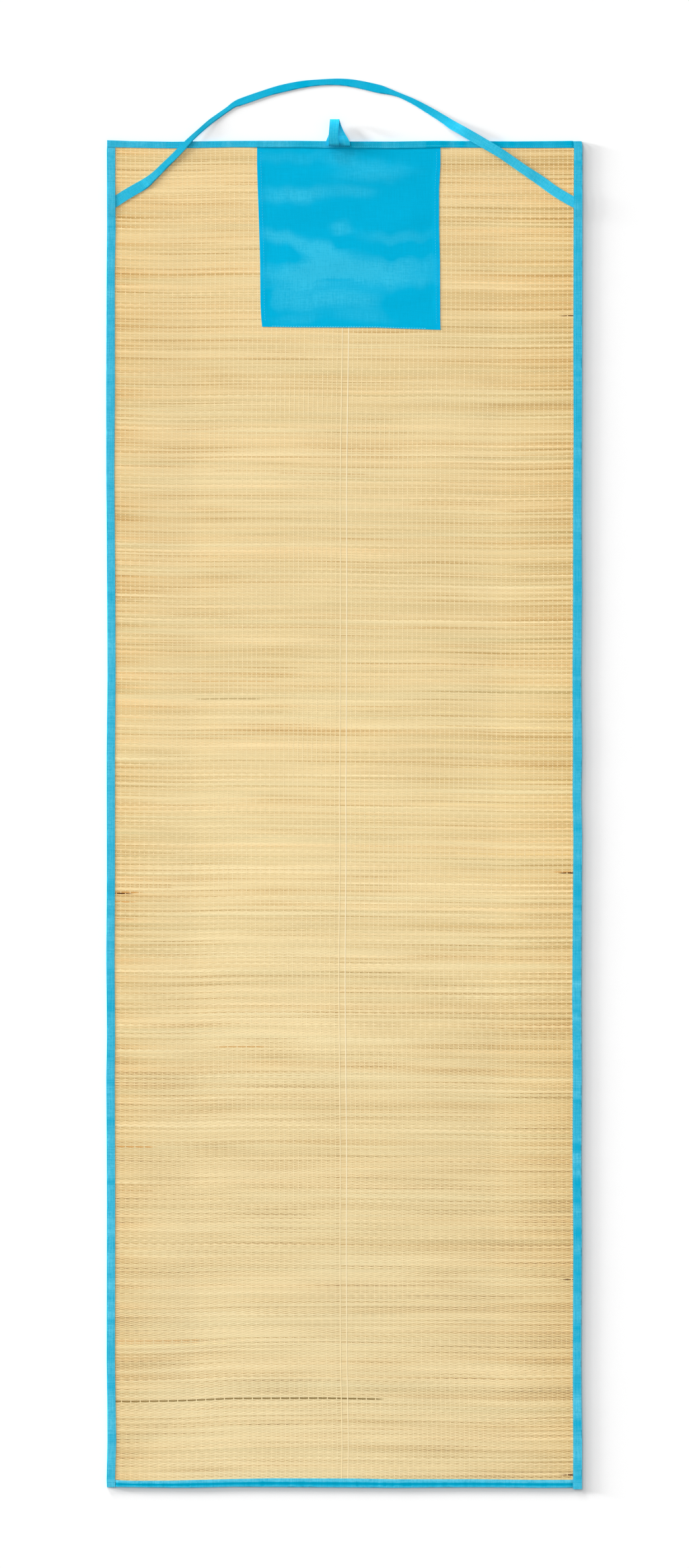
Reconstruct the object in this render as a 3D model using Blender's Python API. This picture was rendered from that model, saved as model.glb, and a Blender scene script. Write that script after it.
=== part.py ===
"""Straw beach mat with a cloth pocket, a carrying strap and a hanging loop.

The mat lies flat on the ground. X runs across it, Y along it towards the head end,
Z up, and the origin is on the ground at the middle of the mat.
"""
import math

import bmesh
import bpy
from mathutils import Vector

MM = 0.001

# Driving sizes in millimetres
MAT_WIDTH = 600.0
MAT_LENGTH = 1700.0
STRAW_THICK = 2.0
TAPE_THICK = 1.0
CLOTH_THICK = 1.0
STRAP_WIDTH = 13.0
STRAP_THICK = 1.2
GAP = 0.3

# The straw's rim is lifted into its tapes, over this run inwards from the edge
RIM_RISE = TAPE_THICK + GAP
RIM_FLAT = 12.5
RIM_RAMP = 23.0
EDGE_ROOM = 0.9
PANEL_INSET = TAPE_THICK + EDGE_ROOM
TAPE_TOP = 2 * TAPE_THICK + 2 * GAP + STRAW_THICK

# Stations along the straw and the tapes
STRAW_STEP = 48.0
TAPE_STEP = 26.0
ROUNDING = 0.8

# How a tape's upper wall is lifted over what is tucked under it
PATCH_LIFT = CLOTH_THICK + GAP
STRAP_LIFT = STRAP_THICK + GAP
LIFT_RAMP = 12.0

# Each edge of the mat: place along it, place of its outer edge, width of its tape
LEFT_EDGE = (
    (-851.0, -299.6, 11.0), (-840.0, -300.2, 11.2), (-791.0, -299.0, 11.4),
    (-740.0, -299.3, 10.9), (-689.0, -300.1, 11.0), (-485.0, -299.7, 10.9),
    (-332.0, -300.5, 11.1), (-281.0, -299.7, 10.7), (-179.0, -300.5, 10.9),
    (-78.0, -299.8, 10.7), (75.0, -300.1, 11.0), (177.0, -298.9, 10.6),
    (279.0, -299.5, 10.8), (432.0, -300.5, 10.6), (533.0, -300.6, 11.4),
    (686.0, -300.1, 10.8), (737.0, -299.5, 11.2), (788.0, -299.6, 10.9),
    (839.0, -300.6, 11.2), (851.0, -299.4, 11.2),
)
RIGHT_EDGE = (
    (-852.0, 299.5, 11.3), (-791.0, 299.7, 11.4), (-740.0, 299.0, 11.0),
    (-689.0, 298.5, 10.6), (-536.0, 299.3, 10.9), (-434.0, 298.7, 11.2),
    (-332.0, 299.2, 11.2), (-230.0, 298.7, 11.6), (-129.0, 299.1, 11.2),
    (-27.0, 299.7, 11.2), (24.0, 298.6, 11.0), (75.0, 299.5, 11.5),
    (177.0, 298.5, 11.0), (228.0, 299.0, 11.1), (279.0, 299.4, 11.3),
    (381.0, 298.9, 10.7), (482.0, 299.3, 10.5), (584.0, 299.7, 11.2),
    (737.0, 300.1, 11.3), (839.0, 300.1, 10.8), (846.0, 299.9, 10.8), (849.0, 298.9, 10.8),
)
HEAD_EDGE = (
    (-300.0, 850.4, 9.0), (-268.0, 849.2, 8.4), (-217.0, 848.5, 8.5),
    (-141.0, 849.5, 8.2), (-64.0, 849.6, 8.4), (12.0, 848.8, 8.6),
    (63.0, 848.7, 8.6), (114.0, 849.5, 8.4), (216.0, 848.9, 8.4),
    (266.0, 849.3, 8.8), (300.0, 849.7, 8.9),
)
FOOT_EDGE = (
    (-300.0, -848.5, 9.2), (-268.0, -848.9, 8.2), (-217.0, -849.5, 9.0),
    (-192.0, -849.5, 9.8), (-141.0, -848.4, 10.0), (-90.0, -848.6, 11.1),
    (12.0, -849.2, 11.4), (63.0, -849.6, 10.9), (114.0, -849.2, 10.5),
    (165.0, -849.0, 10.3), (241.0, -849.6, 10.1), (300.0, -849.5, 10.1),
)

# Where the tapes end at the corners, and how far from a corner a tape's end is fitted
LEFT_FOOT_END = -848.8
RIGHT_FOOT_END = -851.3
RIGHT_HEAD_END = 849.0
HEAD_LEFT_END = -299.4
CORNER_REACH = 12.0

# Slow unevenness of the straw's upper face: wavelength across, along, height
STRAW_WAVES = ((310.0, 540.0, 0.22), (190.0, 265.0, 0.14))
WAVE_LIMIT_Y = 560.0
WAVE_FADE = 60.0

# The pocket cloth's sides: place along the mat, left side, right side
PATCH_SIDES = (
    (846.0, -110.3, 121.8), (820.0, -110.3, 121.8), (790.0, -109.5, 120.1),
    (743.0, -107.8, 120.1), (700.0, -106.5, 121.2), (645.0, -106.0, 121.4),
    (628.0, -105.2, 121.5), (610.0, -103.5, 122.0),
)
# The pocket cloth's lower edge: place across the mat, place of the edge
PATCH_FOOT = (
    (-105.0, 614.5), (-60.0, 613.7), (40.0, 613.4), (80.0, 611.9), (122.0, 610.6),
)
PATCH_HEAD = 845.2
PATCH_STEP = 13.0
HEM_WIDTH = 7.6
HEM_EDGE = 1.2
HEM_RAISE = 0.7
FOLD_MARGIN = 26.0

# Soft folds of the pocket cloth: middle X, Y, half length, half width, turn, height
PATCH_FOLDS = (
    (20.0, 806.0, 95.0, 16.0, 4.0, 1.1),
    (-40.0, 765.0, 70.0, 18.0, -6.0, 0.9),
    (60.0, 742.0, 75.0, 20.0, 8.0, 1.2),
    (-20.0, 700.0, 90.0, 18.0, 3.0, 1.0),
    (45.0, 655.0, 80.0, 16.0, -5.0, 0.9),
)

# The strap as it lies: X, Y, width seen from above, height of its lower edge
STRAP_ROUTE = (
    (-293.4, 769.9, 13.0, 3.65),
    (-287.0, 774.0, 13.0, 3.65),
    (-276.0, 781.2, 13.0, 3.45),
    (-262.7, 789.0, 13.0, 2.5),
    (-252.0, 795.2, 12.6, 2.4),
    (-240.0, 805.2, 9.6, 2.5),
    (-227.0, 818.0, 8.6, 3.0),
    (-215.1, 829.6, 8.3, 4.4),
    (-202.0, 843.0, 8.0, 5.2),
    (-190.5, 854.8, 6.4, 4.9),
    (-182.9, 861.7, 6.0, 3.4),
    (-169.3, 873.7, 6.2, 0.8),
    (-158.0, 882.0, 6.0, 0.0),
    (-147.0, 889.8, 5.9, 0.0),
    (-139.5, 895.2, 7.0, 0.0),
    (-131.5, 898.6, 8.8, 0.0),
    (-94.6, 911.3, 8.9, 0.0),
    (-78.0, 915.8, 9.5, 0.0),
    (-53.9, 920.8, 8.8, 0.0),
    (-30.0, 923.4, 7.6, 0.0),
    (-6.4, 924.0, 8.3, 0.0),
    (14.0, 921.7, 9.6, 0.0),
    (44.0, 915.0, 10.4, 0.0),
    (54.7, 912.2, 7.9, 0.0),
    (66.0, 908.6, 5.8, 0.0),
    (75.1, 904.9, 5.8, 0.0),
    (88.7, 898.4, 7.1, 0.0),
    (109.0, 886.8, 9.0, 0.0),
    (126.0, 876.2, 10.1, 0.8),
    (136.2, 869.3, 11.5, 2.2),
    (147.0, 863.1, 11.8, 3.9),
    (158.0, 856.8, 12.0, 4.95),
    (172.0, 848.6, 12.0, 5.0),
    (196.0, 834.2, 11.8, 4.95),
    (210.0, 824.7, 11.6, 3.6),
    (227.9, 812.2, 11.7, 2.6),
    (245.7, 800.3, 12.6, 2.4),
    (263.5, 787.4, 12.7, 2.6),
    (275.4, 779.8, 13.0, 3.45),
    (287.0, 773.2, 13.0, 3.65),
    (293.4, 769.9, 13.0, 3.65),
)
STRAP_STEP = 9.0
STRAP_TUCK_LEFT = (764.0, 784.0)
STRAP_TUCK_RIGHT = (763.0, 781.0)

# The hanging loop from its tucked front end to its sewn back end: Y, Z, left X, right X
LOOP_ROUTE = (
    (848.0, 8.15, -19.5, -7.0),
    (844.6, 8.15, -19.7, -6.8),
    (842.9, 9.4, -19.8, -6.6),
    (843.8, 10.9, -19.9, -6.6),
    (848.0, 11.8, -20.0, -7.4),
    (855.0, 12.3, -20.0, -8.4),
    (863.0, 12.0, -19.4, -7.8),
    (870.0, 10.6, -18.8, -6.9),
    (874.8, 8.4, -18.4, -6.5),
    (876.4, 6.2, -18.2, -6.3),
    (874.6, 4.6, -18.4, -6.0),
    (869.0, 3.7, -18.9, -4.2),
    (862.0, 3.7, -19.3, -1.2),
    (856.0, 4.7, -20.3, 2.1),
    (850.8, 6.4, -22.6, 5.3),
    (847.0, 6.8, -23.6, 6.6),
    (843.2, 6.8, -23.8, 7.0),
)
LOOP_THICK = 1.0
LOOP_STEP = 2.4

STRAW_COLOUR = (233, 209, 157)
TAPE_COLOUR = (48, 187, 219)
CLOTH_COLOUR = (16, 182, 222)
STRAP_COLOUR = (22, 182, 219)


def clear_scene():
    for thing in list(bpy.data.objects):
        bpy.data.objects.remove(thing, do_unlink=True)


def linear(channel):
    value = channel / 255.0
    return value / 12.92 if value <= 0.04045 else ((value + 0.055) / 1.055) ** 2.4


def make_material(name, colour, roughness):
    made = bpy.data.materials.new(name)
    made.use_nodes = True
    shader = made.node_tree.nodes["Principled BSDF"]
    shader.inputs["Base Color"].default_value = tuple(linear(c) for c in colour) + (1.0,)
    shader.inputs["Roughness"].default_value = roughness
    shader.inputs["Metallic"].default_value = 0.0
    return made


def read_row(rows, place, column):
    """One column of a table, read in straight lines between its rows."""
    ordered = sorted(rows)
    if place <= ordered[0][0]:
        return ordered[0][column]
    for low, high in zip(ordered, ordered[1:]):
        if place <= high[0]:
            share = (place - low[0]) / (high[0] - low[0])
            return low[column] + share * (high[column] - low[column])
    return ordered[-1][column]


def smooth_rows(rows, step):
    """A route's rows with more between them, on a curve through them all.

    The first two columns are the place, and their distances set the curve's pace.
    """
    last = len(rows) - 1
    pace = [0.0]
    for first, second in zip(rows, rows[1:]):
        pace.append(pace[-1] + math.dist(first[:2], second[:2]))

    def slope(index, column):
        low, high = max(index - 1, 0), min(index + 1, last)
        return (rows[high][column] - rows[low][column]) / (pace[high] - pace[low])

    result = []
    for index in range(last):
        length = pace[index + 1] - pace[index]
        pieces = math.ceil(length / step)
        for piece in range(pieces):
            t = piece / pieces
            result.append([
                (2 * t ** 3 - 3 * t * t + 1) * rows[index][column]
                + (3 * t * t - 2 * t ** 3) * rows[index + 1][column]
                + (t ** 3 - 2 * t * t + t) * length * slope(index, column)
                + (t ** 3 - t * t) * length * slope(index + 1, column)
                for column in range(len(rows[0]))
            ])
    result.append(list(rows[last]))
    return result


def even_stations(low, high, step):
    count = max(1, round((high - low) / step))
    return [low + (high - low) * index / count for index in range(count + 1)]


def on_mat(x, y):
    """Move a point of the plain rectangle onto the mat's own uneven outline."""
    across = (x + MAT_WIDTH / 2) / MAT_WIDTH
    along = (y + MAT_LENGTH / 2) / MAT_LENGTH
    left = read_row(LEFT_EDGE, y, 1) + MAT_WIDTH / 2
    right = read_row(RIGHT_EDGE, y, 1) - MAT_WIDTH / 2
    foot = read_row(FOOT_EDGE, x, 1) + MAT_LENGTH / 2
    head = read_row(HEAD_EDGE, x, 1) - MAT_LENGTH / 2
    return x + (1 - across) * left + across * right, y + (1 - along) * foot + along * head


def rim_height(x, y):
    """Height of the straw's lower face above the ground, in the plain rectangle."""
    edge = min(MAT_WIDTH / 2 - abs(x), MAT_LENGTH / 2 - abs(y))
    share = (RIM_RAMP - edge) / (RIM_RAMP - RIM_FLAT)
    return RIM_RISE * min(1.0, max(0.0, share))


def straw_wave(x, y):
    fade = min(1.0, max(0.0, (WAVE_LIMIT_Y - y) / WAVE_FADE))
    if rim_height(x, y) > 0:
        fade = 0.0
    return fade * sum(
        height * math.sin(2 * math.pi * x / across) * math.sin(2 * math.pi * y / along)
        for across, along, height in STRAW_WAVES
    )


def straw_top(x, y):
    return rim_height(x, y) + STRAW_THICK + straw_wave(x, y)


def finish_object(name, bm, material):
    """Turn a bmesh in millimetres into a named object in metres."""
    bmesh.ops.recalc_face_normals(bm, faces=bm.faces[:])
    bmesh.ops.scale(bm, vec=(MM, MM, MM), verts=bm.verts[:])
    mesh = bpy.data.meshes.new(name)
    bm.to_mesh(mesh)
    bm.free()
    mesh.materials.append(material)
    mesh.shade_smooth()
    mesh.set_sharp_from_angle(angle=math.radians(35))
    made = bpy.data.objects.new(name, mesh)
    bpy.context.collection.objects.link(made)
    return made


def sheet_object(name, columns, rows, lower, upper, material):
    """A sheet over a grid, extruded, with its two faces set at each station."""
    bm = bmesh.new()
    wide, long = len(columns) - 1, len(rows) - 1
    bmesh.ops.create_grid(bm, x_segments=wide, y_segments=long, size=1.0)
    raised = bmesh.ops.extrude_face_region(bm, geom=bm.faces[:])["geom"]
    top = {item for item in raised if isinstance(item, bmesh.types.BMVert)}
    for vert in bm.verts:
        column = columns[round((vert.co.x + 1) / 2 * wide)]
        row = rows[round((vert.co.y + 1) / 2 * long)]
        vert.co = upper(column, row) if vert in top else lower(column, row)
    return finish_object(name, bm, material)


def lofted_object(name, rings, material):
    """Rings of points joined in order by bridged edge loops, with both ends capped."""
    bm = bmesh.new()
    loops = []
    for ring in rings:
        verts = [bm.verts.new(point) for point in ring]
        loops.append([bm.edges.new(pair) for pair in zip(verts, verts[1:] + verts[:1])])
    for first, second in zip(loops, loops[1:]):
        bmesh.ops.bridge_loops(bm, edges=first + second)
    bmesh.ops.holes_fill(bm, edges=loops[0] + loops[-1], sides=0)
    return finish_object(name, bm, material)


def rim_stations(half):
    """Stations across or along the straw, close together over its lifted rim."""
    ends = [half - PANEL_INSET, half - RIM_FLAT, half - RIM_RAMP]
    middle = even_stations(-ends[-1], ends[-1], STRAW_STEP)
    return [-ends[0], -ends[1]] + middle + [ends[1], ends[0]]


def build_mat_panel(material):
    def lower(x, y):
        return Vector((*on_mat(x, y), rim_height(x, y)))

    def upper(x, y):
        return Vector((*on_mat(x, y), straw_top(x, y)))

    columns = rim_stations(MAT_WIDTH / 2)
    rows = rim_stations(MAT_LENGTH / 2)
    return sheet_object("mat_panel", columns, rows, lower, upper, material)


def tape_profile(width, lift):
    """The U of a folded tape: distance in from the edge, height above the ground."""
    top = TAPE_TOP + lift
    return (
        (0.0, ROUNDING), (0.0, top - ROUNDING), (ROUNDING, top), (width, top),
        (width, top - TAPE_THICK), (TAPE_THICK, top - TAPE_THICK),
        (TAPE_THICK, TAPE_THICK), (width, TAPE_THICK), (width, 0.0), (ROUNDING, 0.0),
    )


def lift_over(place, tucked, height):
    """How far a tape's upper wall is raised beside the stretch tucked under it."""
    low, high = tucked
    outside = max(low - place, place - high, 0.0)
    return height * max(0.0, 1.0 - outside / LIFT_RAMP)


def build_tape(name, edge, start, end, inward, material, lifts=()):
    """A folded tape along one edge of the mat, from one end to the other."""
    along_y = inward[1] == 0
    stations = set(even_stations(start, end, TAPE_STEP))
    stations.update(row[0] for row in edge if start < row[0] < end)
    for tucked, _ in lifts:
        stations.update((tucked[0] - LIFT_RAMP, tucked[0], tucked[1], tucked[1] + LIFT_RAMP))
    rings = []
    for place in sorted(stations):
        outer = read_row(edge, place, 1)
        width = read_row(edge, place, 2)
        lift = max([lift_over(place, tucked, height) for tucked, height in lifts] or [0.0])
        corner = Vector((outer, place, 0)) if along_y else Vector((place, outer, 0))
        rings.append([
            corner + Vector((inward[0] * depth, inward[1] * depth, height))
            for depth, height in tape_profile(width, lift)
        ])
    return lofted_object(name, rings, material)


def inner_line(edge, place, inward):
    """Where a tape's inner edge lies at one place along it."""
    return read_row(edge, place, 1) + inward * read_row(edge, place, 2)


def build_tapes(material):
    """The side tapes run to the foot; the right one runs to the head, the left one stops short."""
    corner_x = (-MAT_WIDTH / 2, -MAT_WIDTH / 2 + CORNER_REACH)
    corner_y = [side * (MAT_LENGTH / 2 - reach) for side in (-1, 1) for reach in (0, CORNER_REACH)]
    left_head_end = min(inner_line(HEAD_EDGE, x, -1) for x in corner_x) - GAP
    right_inner = min(inner_line(RIGHT_EDGE, y, -1) for y in corner_y)
    left_inner = max(inner_line(LEFT_EDGE, y, 1) for y in corner_y[:2])
    patch_tuck = (PATCH_SIDES[0][1] - GAP, PATCH_SIDES[0][2] + GAP)
    build_tape("binding_left", LEFT_EDGE, LEFT_FOOT_END, left_head_end, (1, 0),
               material, ((STRAP_TUCK_LEFT, STRAP_LIFT),))
    build_tape("binding_right", RIGHT_EDGE, RIGHT_FOOT_END, RIGHT_HEAD_END, (-1, 0),
               material, ((STRAP_TUCK_RIGHT, STRAP_LIFT),))
    build_tape("binding_head", HEAD_EDGE, HEAD_LEFT_END, right_inner - GAP, (0, -1),
               material, ((patch_tuck, PATCH_LIFT),))
    build_tape("binding_foot", FOOT_EDGE, left_inner + GAP, right_inner - GAP, (0, 1), material)


def patch_fold(x, y, edge):
    """Lift of the pocket cloth off the straw, fading out towards its sewn edges."""
    lift = 0.0
    for middle_x, middle_y, half_length, half_width, turn, height in PATCH_FOLDS:
        angle = math.radians(turn)
        along = (x - middle_x) * math.cos(angle) + (y - middle_y) * math.sin(angle)
        aside = (y - middle_y) * math.cos(angle) - (x - middle_x) * math.sin(angle)
        lift += height * math.exp(-(along / half_length) ** 2 - (aside / half_width) ** 2)
    return lift * min(1.0, max(0.0, edge / FOLD_MARGIN))


def build_pocket_patch(material):
    """The sewn cloth. Its stations are distances from its left side and lower edge."""
    left, right = PATCH_SIDES[0][1], PATCH_SIDES[0][2]
    foot = PATCH_FOOT[0][1]
    width, height = right - left, PATCH_HEAD - foot
    hem = HEM_WIDTH + HEM_EDGE

    def place(column, row):
        across, along = column / width, row / height
        y = foot + row
        x = (1 - across) * read_row(PATCH_SIDES, y, 1) + across * read_row(PATCH_SIDES, y, 2)
        y = (1 - along) * read_row(PATCH_FOOT, x, 1) + along * PATCH_HEAD
        return x, y

    def bottom_height(column, row):
        x, y = place(column, row)
        edge = max(0.0, min(column, width - column, row, height - row) - hem)
        return straw_top(x, min(y, MAT_LENGTH / 2)) + GAP + patch_fold(x, y, edge)

    def lower(column, row):
        return Vector((*place(column, row), bottom_height(column, row)))

    def upper(column, row):
        edge = min(column, width - column, row)
        hem_share = min(1.0, max(0.0, (hem - edge) / HEM_EDGE))
        top_share = min(1.0, max(0.0, (height - row - RIM_RAMP) / HEM_WIDTH))
        raised = HEM_RAISE * hem_share * top_share
        return Vector((*place(column, row), bottom_height(column, row) + CLOTH_THICK + raised))

    head_rows = [
        PATCH_HEAD - (MAT_LENGTH / 2 - RIM_FLAT), PATCH_HEAD - (MAT_LENGTH / 2 - RIM_RAMP),
    ]
    columns = [0.0, HEM_WIDTH] + even_stations(hem, width - hem, PATCH_STEP)
    columns += [width - HEM_WIDTH, width]
    rows = [0.0, HEM_WIDTH] + even_stations(hem, height - head_rows[1], PATCH_STEP)
    rows += [height - head_rows[0], height]
    return sheet_object("pocket_patch", columns, rows, lower, upper, material)


def ribbon_rings(middles, sides, thick):
    """Four-cornered rings along a ribbon, square to its run."""
    rings = []
    last = len(middles) - 1
    for index, (middle, side) in enumerate(zip(middles, sides)):
        run = middles[min(index + 1, last)] - middles[max(index - 1, 0)]
        face = run.cross(side).normalized() * thick / 2
        rings.append([middle - side - face, middle + side - face,
                      middle + side + face, middle - side + face])
    return rings


def build_carrying_strap(material):
    """A flat tape that lies on edge where it curves, its outer edge the higher one."""
    middles, sides = [], []
    route = smooth_rows(STRAP_ROUTE, STRAP_STEP)
    last = len(route) - 1
    for index, (x, y, seen, low) in enumerate(route):
        before, after = route[max(index - 1, 0)], route[min(index + 1, last)]
        run = Vector((after[0] - before[0], after[1] - before[1], 0)).normalized()
        outward = Vector((-run.y, run.x, 0))
        share = min(1.0, seen / STRAP_WIDTH)
        level = share - STRAP_THICK / STRAP_WIDTH * math.sqrt(1 - share * share)
        rise = math.sqrt(1 - level * level)
        side = (outward * level + Vector((0, 0, rise))) * STRAP_WIDTH / 2
        middle_height = max(0.0, low) + side.z + STRAP_THICK / 2 * level
        middles.append(Vector((x, y, middle_height)))
        sides.append(side)
    rings = ribbon_rings(middles, sides, STRAP_THICK)
    return lofted_object("carrying_strap", rings, material)


def build_hanging_loop(material):
    """A folded tape: its front leg bends under at the head tape, its back leg spreads."""
    middles, sides = [], []
    for y, z, left, right in smooth_rows(LOOP_ROUTE, LOOP_STEP):
        middles.append(Vector(((left + right) / 2, y, z)))
        sides.append(Vector(((right - left) / 2, 0, 0)))
    return lofted_object("hanging_loop", ribbon_rings(middles, sides, LOOP_THICK), material)


def build_mat():
    clear_scene()
    straw = make_material("straw", STRAW_COLOUR, 0.75)
    tape = make_material("binding_tape", TAPE_COLOUR, 0.8)
    cloth = make_material("pocket_cloth", CLOTH_COLOUR, 0.8)
    webbing = make_material("strap_tape", STRAP_COLOUR, 0.8)
    build_mat_panel(straw)
    build_tapes(tape)
    build_pocket_patch(cloth)
    build_carrying_strap(webbing)
    build_hanging_loop(webbing.copy())


build_mat()
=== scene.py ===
"""Looks of a straw beach mat: woven rush, folded edge tapes, pocket cloth, strap and loop.

Lengths are millimetres until a mesh is made. X runs across the mat, Y towards its head, Z up.
"""
import math

import bpy
import numpy as np
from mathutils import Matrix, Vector


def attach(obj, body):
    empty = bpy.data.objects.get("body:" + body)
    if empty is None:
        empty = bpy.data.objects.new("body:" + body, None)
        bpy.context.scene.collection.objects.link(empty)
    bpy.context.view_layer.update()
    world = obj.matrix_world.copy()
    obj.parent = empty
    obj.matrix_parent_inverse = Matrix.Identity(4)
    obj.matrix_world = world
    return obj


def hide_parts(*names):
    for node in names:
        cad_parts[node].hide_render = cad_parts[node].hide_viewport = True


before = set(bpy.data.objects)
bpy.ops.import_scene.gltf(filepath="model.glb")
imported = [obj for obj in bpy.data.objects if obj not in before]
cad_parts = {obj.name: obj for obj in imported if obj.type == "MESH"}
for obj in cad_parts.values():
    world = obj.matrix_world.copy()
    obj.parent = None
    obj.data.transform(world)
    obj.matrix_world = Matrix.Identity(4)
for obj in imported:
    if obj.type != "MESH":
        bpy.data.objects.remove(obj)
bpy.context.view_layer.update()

BODY = "root"
MM = 0.001
SEED = 20
SMOOTH_ANGLE = math.radians(50)

# How the picture sees the mat
PIXEL = 0.8487
PICTURE_HEIGHT = 2331
PICTURE_MIDDLE_Y = 38.2
CAMERA_HEIGHT = 12000.0
SENSOR = 36.0

# Driving sizes
MAT_WIDTH = 600.0
MAT_LENGTH = 1700.0
STRAW_THICK = 2.0
STRAP_WIDTH = 13.0
GAP = 0.3
RIM_RISE = 1.3
RIM_FLAT = 12.5
RIM_RAMP = 110.0
PANEL_INSET = 1.9
TAPE_TOP = 3.7
PATCH_LIFT = 0.5
STRAP_LIFT = 0.9
LIFT_RAMP = 12.0

# The cloths as they lie, sewn flat
TAPE_WALL = 0.25
TAPE_BULGE = 0.22
TAPE_STEP = 2.5
# A tape's upper lip from its fold inwards: share of its width, how far it is pressed down
TAPE_LIP = (
    (0.1, 0.0), (0.26, 0.0), (0.35, 0.0), (0.44, 0.01), (0.53, 0.02), (0.62, 0.03), (0.74, 0.04),
    (0.87, 0.06), (1.0, 0.09),
)
TAPE_FOLD_CUTS = 7
TAPE_STITCH_ROW = 6
# An end under another tape: length of the change, share of height, rise, shift inwards
TAPE_TUCK = (1.5, 0.72, 0.45, 0.8)
TAPE_UNDER = (1.5, 0.965, 0.006, 0.2)
CORNER_LIFT = 0.28
# A tape's small ripples: length, height, how far they sink it
TAPE_RIPPLE = (5.0, 0.03, 0.06)
# Its pale and dark bands, painted light and shade of its small puckers: length and strength of two
# kinds, how strong, where they grow stronger
PUCKER_SHADING_KINDS = ((7.0, 0.6), (16.0, 0.5))
TAPE_PUCKER_SHADING = 0.11
RIPPLED_PLACES = (-50, 450)
# The foot tape's sewn groove, row by row: share of its depth, painted shade
GROOVE_DEPTH = (0.1, 0.7, 1.0, 0.7, 0.1)
GROOVE_SHADE = (-0.2, -1.5, -1.6, -1.4, -0.3)
GROOVE_EDGE = 0.45
SCALLOP = (3.5, 0.14)
# A stitch: length, width, height
STITCH_SIZE = (2.3, 0.75, 0.3)
CLOTH_WALL = 0.16
CLOTH_HEM_RAISE = 0.03
CLOTH_EASE = 0.4
STRAP_FOLD = 0.28
HEM_FADE = (8.0, 20.0)

# Each edge of the mat: place along it, place of its outer edge, width of its tape
LEFT_EDGE = (
    (-851, -299.6, 10.6), (-840, -300.2, 10.8), (-791, -299, 11), (-740, -299.3, 10.5),
    (-689, -300.1, 10.6), (-485, -299.7, 10.5), (-332, -300.5, 10.7), (-281, -299.7, 10.3),
    (-179, -300.5, 10.5), (-78, -299.8, 10.3), (75, -300.1, 10.6), (177, -298.9, 10.2),
    (279, -299.5, 10.4), (432, -300.5, 10.2), (533, -300.6, 11), (686, -300.1, 10.4),
    (737, -299.5, 10.8), (788, -299.6, 10.5), (839, -299.9, 10.8), (851, -299.4, 10.8),
)
RIGHT_EDGE = (
    (-852, 299.5, 11.3), (-791, 299.7, 11.4), (-740, 299, 11), (-689, 298.5, 10.6),
    (-536, 299.3, 10.9), (-434, 298.7, 11.2), (-332, 299.2, 11.2), (-230, 298.7, 11.6),
    (-129, 299.1, 11.2), (-27, 299.7, 11.2), (24, 298.6, 11), (75, 299.5, 11.5), (177, 298.5, 11),
    (228, 299, 11.1), (279, 299.4, 11.3), (381, 298.9, 10.7), (482, 299.3, 10.5),
    (584, 299.7, 11.2), (737, 300.1, 11.3), (839, 300.1, 10.8), (846, 299.9, 10.8),
    (849, 298.9, 10.8),
)
HEAD_EDGE = (
    (-300, 850.4, 9), (-268, 849.2, 8.4), (-217, 848.5, 8.5), (-141, 849.5, 8.2),
    (-64, 849.6, 8.4), (12, 848.8, 8.6), (63, 848.7, 8.6), (114, 849.5, 8.4), (216, 848.9, 8.4),
    (266, 849.3, 8.8), (300, 849.7, 8.9),
)
FOOT_EDGE = (
    (-300, -848.5, 9.2), (-268, -848.9, 8.2), (-217, -849.5, 9), (-192, -849.5, 9.8),
    (-141, -848.4, 10), (-90, -848.6, 11.1), (12, -849.2, 11.4), (63, -849.6, 10.9),
    (114, -849.2, 10.5), (165, -849, 10.3), (241, -849.6, 10.1), (300, -849.5, 10.1),
)
LEFT_ENDS = (-848.8, 848.6)
RIGHT_ENDS = (-851.3, 849)
HEAD_ENDS = (-299.4, 292.3)
FOOT_ENDS = (-292, 291.5)

# Slow unevenness of the straw's upper face: wavelength across, along, height
STRAW_WAVES = ((310, 540, 0.22), (190, 265, 0.14))
WAVE_LIMIT_Y = 560
WAVE_FADE = 60

# The weave: rush wefts across, cotton warps along, and a pair of chain lines in the middle
WEFT_PITCH = 1.55
WARP_PITCH = 5.907
CHAIN_LINES = (-4.3, 3.6)
WEFT_UNEVEN = 0.13
WEFT_LEVEL = 1.85
WEFT_SWING = 0.045
WEFT_ROUND = 0.04
# How far a weft sways at each warp, for places along the mat
WEFT_SWAY = ((-850, 0.56), (-560, 0.48), (-250, 0.34), (150, 0.13), (850, 0.12))
WARP_WIDTH = 1.2
CHAIN_WIDTH = 1.3
WARP_LOW = 0.01
# How high the warps lie, for places away from the middle of the mat
WARP_HIGH = ((0, 0.075), (120, 0.07), (220, 0.05), (300, 0.035))
# How far they sink towards the foot of the mat, and where
WARP_SINK = 0.02
WARP_SINK_Y = (200, 550)
CHAIN_ABOVE = (0.03, 0.08)
# How white the two chain lines are, the left one first
CHAIN_WHITE = (0.2, 0.6)
CHAIN_FADE = 0.65
CHAIN_FADE_Y = (480, 780)
WARP_STEP = 40
WARP_RIM_CUTS = 13
WEFT_PIECES = 4
WEFT_GROUP = 3.93

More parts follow.
